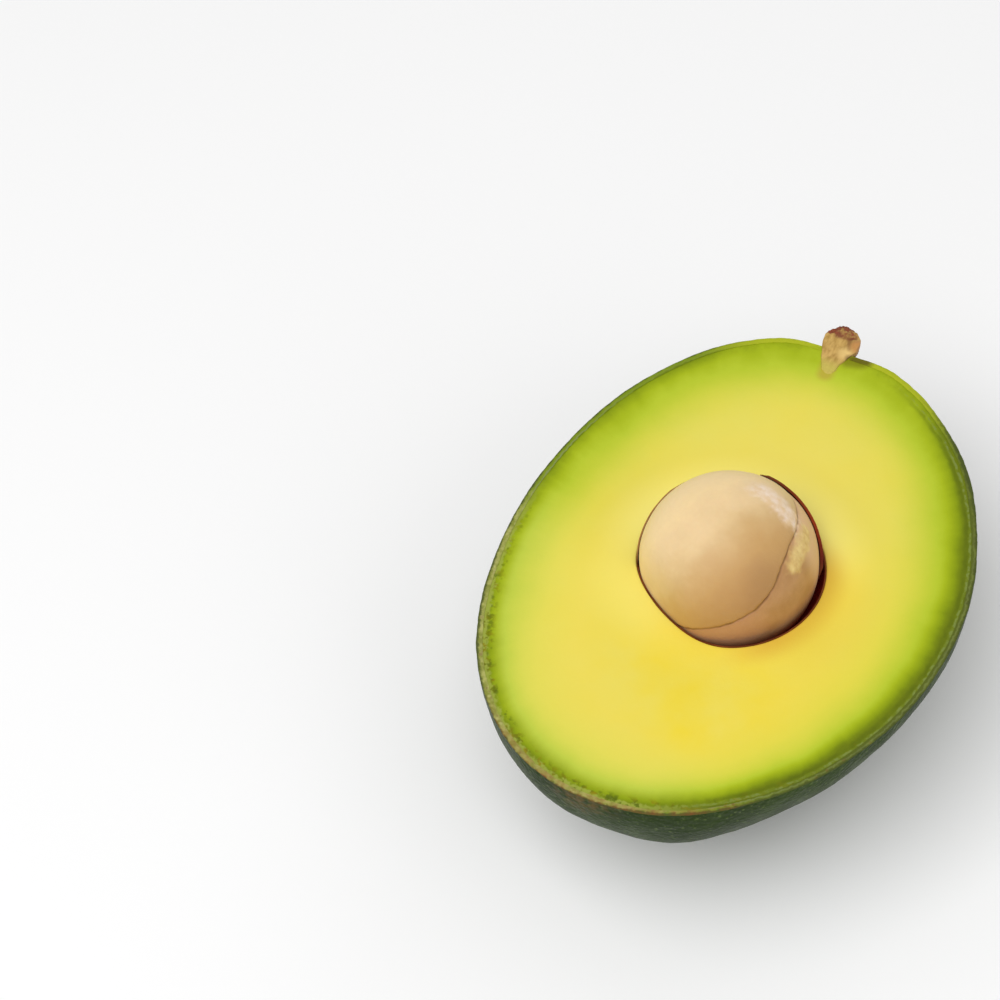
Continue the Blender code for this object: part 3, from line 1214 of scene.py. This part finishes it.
def seed_material():
    """Tan with painted light and shade, paler towards its lit end, with a brown seam, pale scraps, and
    flakes under a painted highlight.
    """
    material = new_material("avocado_seed")
    place = place_of(material)
    y = split(place)[1]
    seam, scraps, flakes = (read_attribute(place.tree, name) for name in ("from_seam", "scraps", "flakes"))
    # Painted light and shade: the big half is pale where the light falls and tan on the side away from it.
    towards_light = vector_maths("DOT_PRODUCT", vector_maths("SUBTRACT", place, SEED_CENTRE), SEED_LIT_END)
    towards_light += wander(place, 8, 2.2, -2 * MM, 2 * MM)
    colour = ramp(fade(towards_light, -13.6 * MM, 8.2 * MM, kind="LINEAR"), SEED_LIT_TO_SHADED_STOPS)
    # A darker tan spot on the side away from the lit end.
    colour = wash(colour, (164, 120, 70), near_spot(place, SEED_DARKER_SPOT, 0.5, 6, 0.4))
    colour = wash(colour, (190, 140, 90), blotches(place, 0.9, 3.0) * 0.05)
    small_half = mottled(place, 3, 2.4, (182, 134, 84), (200, 152, 104))
    small_half = wash(small_half, (204, 150, 116), fade_mm(y, -9, -14, 0.0, 0.6))
    small_half = wash(small_half, (238, 196, 156), fade_mm(y, -1, 4, 0.0, 0.9))
    colour = blend(fade(seam, -0.1, 0.3) * 0.8, colour, small_half)

    from_seam = maths("ABSOLUTE", seam)
    # Painted shade: a soft darker band along the seam's groove. The thin brown line after it is the seam
    # itself.
    colour = wash(colour, (170, 118, 66), fade(from_seam, 0.1, 1.1, 1.0, 0.0) * 0.3)
    line = fade(from_seam, 0.05, 0.4, 1.0, 0.0) * fade(blotches(place, 2.5, 3.0), 0.0, 1.0, 0.35, 0.9)
    colour = wash(colour, (130, 88, 48), line)
    crumbs = mottled(place, 1.5, 2.6, (218, 180, 108), (242, 214, 142))
    colour = blend(fade(scraps, 0.0, 0.9, 0.0, 0.9), colour, crumbs)
    # Pale flakes of coat, and over them a broad, pale pink-white painted highlight.
    flakes_and_highlight_colour = mottled(place, 1.6, 3.5, (236, 204, 160), (248, 226, 206))
    colour = blend(fade(flakes, 0.0, 1.0, 0.0, 0.85), colour, flakes_and_highlight_colour)
    look = {
        "Base Color": colour,
        "Roughness": wander(place, 4, 2.0, 0.4, 0.52),
        "Specular IOR Level": 0.4,
        "Subsurface Weight": 0.1,
        "Subsurface Radius": (1.0, 0.6, 0.3),
        "Subsurface Scale": 1.0 * MM,
        "Normal": pebbled(place, 0.8, 0.6, 0.03),
    }
    return set_shader(material, look)


# The coat that stands up beside the seed, from its -X to its +X end. Its orange-red stop is red-brown coat
# with a painted highlight on it.
STANDING_COAT_STOPS = (
    (0.0, (158, 112, 62)),
    (0.35, (104, 62, 28)),
    (0.6, (112, 48, 16)),
    (0.82, (146, 54, 14)),
    (0.96, (88, 22, 14)),
)


def coat_material():
    """Thin paper: painted a brighter red deep in the shaded nest, brown at its lip, and tan to red-brown
    where it stands up, its orange-red carrying a painted highlight.
    """
    material = new_material("avocado_seed_coat")
    place = place_of(material)
    x, _, z = split(place)
    lip = mottled(place, 3, 3.0, (98, 44, 18), (128, 66, 26))
    towards_lip = fade(z, CUT_HEIGHT - 2.5 * MM, CUT_HEIGHT - 0.6 * MM)
    # Painted light: deep in the shaded nest the coat is painted a brighter red than at its lip.
    colour = blend(towards_lip, paint(172, 50, 38), lip)
    standing = ramp(fade(x, -16 * MM, 16 * MM, kind="LINEAR"), STANDING_COAT_STOPS)
    colour = blend(fade(z, CUT_HEIGHT - 0.3 * MM, CUT_HEIGHT + 1.5 * MM), colour, standing)
    look = {
        "Base Color": colour,
        "Roughness": 0.6,
        "Specular IOR Level": 0.15,
        "Normal": pebbled(place, 0.7, 0.7, 0.08),
    }
    return set_shader(material, look)


def stem_material():
    """Woody: tan and fibrous where it was cut, orange on its high side, red-brown at its broken end, with
    painted shade beside its lump and a painted shadow at its foot.
    """
    material = new_material("avocado_stem")
    place = place_of(material)
    x, y, z = split(place)
    grain = add(place.tree, "Mapping", "Vector", {"Vector": place, "Scale": (1.0, 0.35, 1.0)})
    wood = mottled(grain, 0.7, 3.0, (174, 135, 62), (212, 173, 96))
    cream_spot = (-2.6 * MM, 55.0 * MM, CUT_HEIGHT)
    wood = wash(wood, (230, 194, 118), near_spot(place, cream_spot, 0.5, 2.4))
    orange_spot = (-0.9 * MM, 57.3 * MM, CUT_HEIGHT + 0.8 * MM)
    wood = wash(wood, (196, 140, 74), near_spot(place, orange_spot, 1.0, 2.4))
    # Painted shade in the crease between the cream cut face and the raised orange lump.
    between = near_line(place, (-2.2, 56.0), (-3.4, 58.8), 0.2, 0.9, rise=0.3)
    wood = wash(wood, (136, 88, 44), between * 0.7)
    band = near_line(place, (-5.8, 58.9), (-2.8, 59.4), 0.3, 1.2, rise=0.3)
    wood = wash(wood, (120, 58, 24), band * fade(blotches(place, 1.2, 3.0), 0.1, 0.6, 0.4, 0.95))
    # Painted shadow under the stem's lump, where it leaves the fruit.
    painted_shadow_at_foot = near_line(place, (-1.8, 54.2), (0.0, 55.6), 0.2, 1.1)
    wood = wash(wood, (106, 74, 32), painted_shadow_at_foot * 0.8)

    bark = mottled(place, 1.0, 3.0, (92, 44, 22), (146, 70, 34))
    cut_side = fade(z, CUT_HEIGHT - 0.7 * MM, CUT_HEIGHT + 0.05 * MM)
    sine, cosine = math.sin(STEM_LEAN), math.cos(STEM_LEAN)
    foot_along = STEM_FOOT_Y * cosine - STEM_FOOT_X * sine
    frayed = fade(blotches(place, 1.0, 3.0), 0.0, 1.0, -0.8 * MM, 0.8 * MM)
    along = maths("MULTIPLY_ADD", x, -sine, y * cosine) + frayed
    before_end = fade(along, foot_along + STEM_BROKEN_FROM, foot_along + 6.4 * MM, 1.0, 0.0)
    colour = blend(cut_side * before_end, bark, wood)
    colour = wash(colour, (200, 184, 80), fade_mm(y, 53.6, 50.4, 0.0, 0.9))
    look = {"Base Color": colour, "Roughness": 0.7, "Normal": pebbled(grain, 0.6, 0.8, 0.12)}
    return set_shader(material, look)


# ---------------------------------------------------------------- studio


def make_floor():
    deselect()
    bpy.ops.mesh.primitive_plane_add(size=6.0, location=(0.0, 0.0, -0.02 * MM))
    floor = bpy.context.object
    floor.name = "studio_floor"
    look = {"Base Color": (0.98, 0.98, 0.98, 1.0), "Roughness": 0.7}
    floor.data.materials.append(set_shader(new_material("studio_white"), look))


def add_soft_light(name, heading, distance, size, watts):
    """A square soft box that faces the fruit from that heading."""
    target = Vector((0.0, 0.0, CUT_HEIGHT))
    heading = Vector(heading).normalized()
    lamp = bpy.data.lights.new(name, "AREA")
    lamp.size = size
    lamp.energy = watts
    holder = bpy.data.objects.new(name, lamp)
    holder.location = target + heading * distance
    holder.rotation_euler = heading.to_track_quat("Z", "Y").to_euler()
    bpy.context.scene.collection.objects.link(holder)


def make_lights():
    add_soft_light("key_light", (-0.14, -0.45, 0.88), 1.2, 1.2, 10.2)
    add_soft_light("back_light", (0.14, 0.95, 0.35), 1.2, 0.6, 1.2)
    add_soft_light("fill_light", (0.80, -0.20, 0.56), 1.2, 0.8, 1.6)
    world = bpy.data.worlds.new("studio_air")
    world.use_nodes = True
    sky = world.node_tree.nodes["Background"]
    sky.inputs["Color"].default_value = (1.0, 1.0, 1.0, 1.0)
    sky.inputs["Strength"].default_value = 0.46
    bpy.context.scene.world = world
    bpy.context.scene.view_settings.view_transform = "Standard"


def make_camera():
    """The camera stands above the blossom end, facing the middle of the cut, and turns a little aside."""
    level, rise = math.cos(CAMERA_ELEVATION), math.sin(CAMERA_ELEVATION)
    back = Vector((math.sin(CAMERA_AZIMUTH) * level, -math.cos(CAMERA_AZIMUTH) * level, rise))
    camera = bpy.data.objects.new("camera", bpy.data.cameras.new("camera"))
    camera.data.lens = CAMERA_LENS
    camera.data.sensor_width = 36.0
    camera.location = Vector((-BOW, 0.0, CUT_HEIGHT)) + back * CAMERA_DISTANCE
    turned = back.to_track_quat("Z", "Y") @ CAMERA_TURN.to_quaternion()
    camera.rotation_euler = turned.to_euler()
    bpy.context.scene.collection.objects.link(camera)
    bpy.context.scene.camera = camera


EFFECTS = make_effects()
make_peel()
make_flesh()
make_seed_coat()
make_seed()
make_stem()
make_floor()
make_lights()
make_camera()
